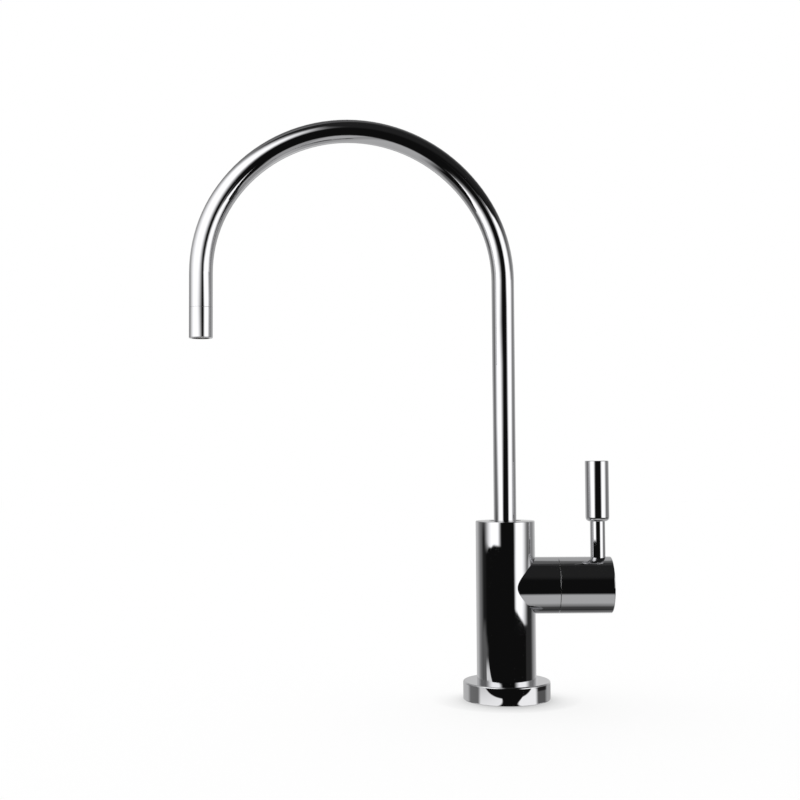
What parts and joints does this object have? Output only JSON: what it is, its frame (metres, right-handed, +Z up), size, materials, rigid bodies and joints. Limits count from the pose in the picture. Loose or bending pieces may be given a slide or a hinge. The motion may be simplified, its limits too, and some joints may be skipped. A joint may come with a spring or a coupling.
{
  "type": "drinking water faucet",
  "caption": "Polished chrome drinking water faucet with a round base, a column with a side lever that opens a ceramic valve, and a tall gooseneck spout that swivels.",
  "frame": {"origin": "centre of the underside of the base, on the axis of the column and of the supply thread", "axes": "+Z up along the column, +X along the handle's axis away from the column, spout at rest towards -X and swung a little towards -Y"},
  "size_m": [0.209, 0.0612, 0.2915],
  "materials": {
    "chrome": "bright polished chrome plate on brass",
    "brass": "bare machined brass",
    "black_rubber": "matt moulded rubber",
    "white_plastic": "matt moulded acetal",
    "ceramic": "lapped alumina",
    "spring_steel": "bright spring steel"
  },
  "bodies": {
    "faucet_body": {"base_plate": "chrome", "base_gasket": "black_rubber", "base_o_ring": "black_rubber", "valve_body": "chrome", "cartridge_seal": "black_rubber", "ceramic_fixed_disc": "ceramic", "cartridge_housing": "brass", "housing_o_ring": "black_rubber", "hub_guide_ring": "white_plastic", "spout_thrust_washer": "white_plastic"},
    "spout": {"spout_tube": "chrome", "spout_ferrule": "chrome", "spout_o_rings": "black_rubber", "spout_snap_ring": "spring_steel", "outlet_nozzle": "chrome", "nozzle_washer": "black_rubber", "flow_straightener": "white_plastic", "straightener_ring": "spring_steel"},
    "handle": {"ceramic_turning_disc": "ceramic", "cartridge_stem": "brass", "stem_thrust_washer": "white_plastic", "stem_o_rings": "black_rubber", "stem_circlip": "spring_steel", "hub_adapter": "white_plastic", "handle_hub": "chrome", "hub_set_screw": "spring_steel", "lever_rod": "chrome", "lever_grip": "chrome"}
  },
  "joints": [
    {"name": "spout_swivel", "type": "hinge", "parent": "faucet_body", "child": "spout", "pos_m": [0, 0, 0.079], "axis": [0, 0, 1], "continuous": true},
    {"name": "handle_turn", "type": "hinge", "parent": "faucet_body", "child": "handle", "pos_m": [0.04, 0, 0.0566], "axis": [1, 0, 0], "range_deg": [0, 90]}
  ]
}
